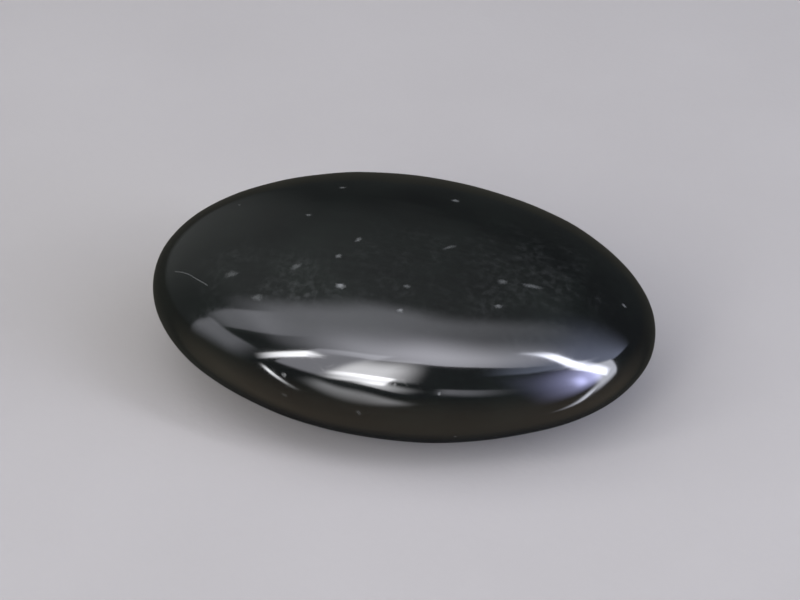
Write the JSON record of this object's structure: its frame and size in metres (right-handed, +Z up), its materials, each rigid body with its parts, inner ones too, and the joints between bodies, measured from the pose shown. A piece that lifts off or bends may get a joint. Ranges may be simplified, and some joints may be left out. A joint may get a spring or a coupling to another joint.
{
  "type": "black tourmaline palm stone",
  "caption": "Oval palm stone of polished black tourmaline (schorl), domed on both faces, to hold in the hand or rest on a shelf or display slab.",
  "frame": {"origin": "bottom centre of the stone's bounding box, on the surface that the stone rests on", "axes": "+X along the long axis towards the slightly narrower end, +Y across the stone to its back, +Z up, square to the rest face"},
  "size_m": [0.07, 0.0504, 0.0252],
  "materials": {
    "schorl": "polished to a gloss"
  },
  "bodies": {
    "root": {"palm_stone": "schorl"}
  },
  "joints": []
}
